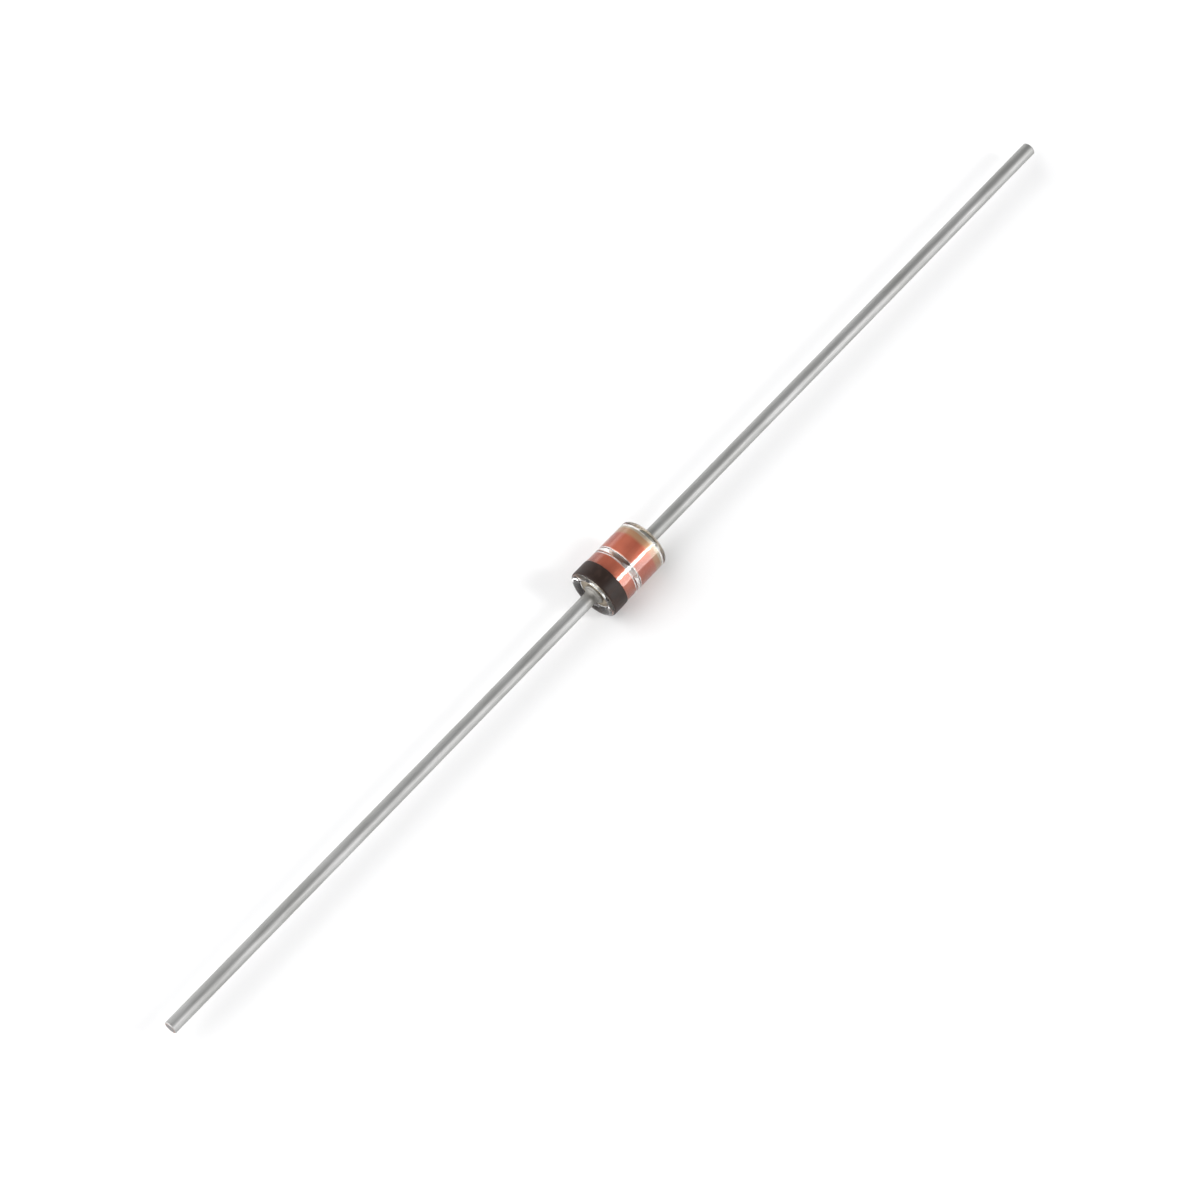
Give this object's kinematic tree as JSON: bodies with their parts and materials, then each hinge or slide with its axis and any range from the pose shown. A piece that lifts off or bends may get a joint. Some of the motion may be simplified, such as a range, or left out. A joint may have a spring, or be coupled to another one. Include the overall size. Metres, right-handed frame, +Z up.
{
  "type": "zener diode",
  "caption": "Axial glass zener diode with straight wire leads, welded studs pressing on a silicon chip, and a printed ring at the cathode end.",
  "frame": {"origin": "middle of the glass body, on the line of the two leads", "axes": "+X along the leads, from the banded cathode end to the anode end; +Z up from the board or table under the body"},
  "size_m": [0.0572, 0.0026, 0.0026],
  "materials": {
    "glass": "polished",
    "band_ink": "satin",
    "stud_copper": "satin",
    "tinned_wire": "satin",
    "silicon": "polished",
    "silver": "satin"
  },
  "bodies": {
    "root": {"glass_sleeve": "glass", "cathode_band": "band_ink", "cathode_stud": "stud_copper", "anode_stud": "stud_copper", "zener_die": "silicon", "die_bump": "silver", "die_back_contact": "silver", "cathode_lead": "tinned_wire", "anode_lead": "tinned_wire"}
  },
  "joints": []
}
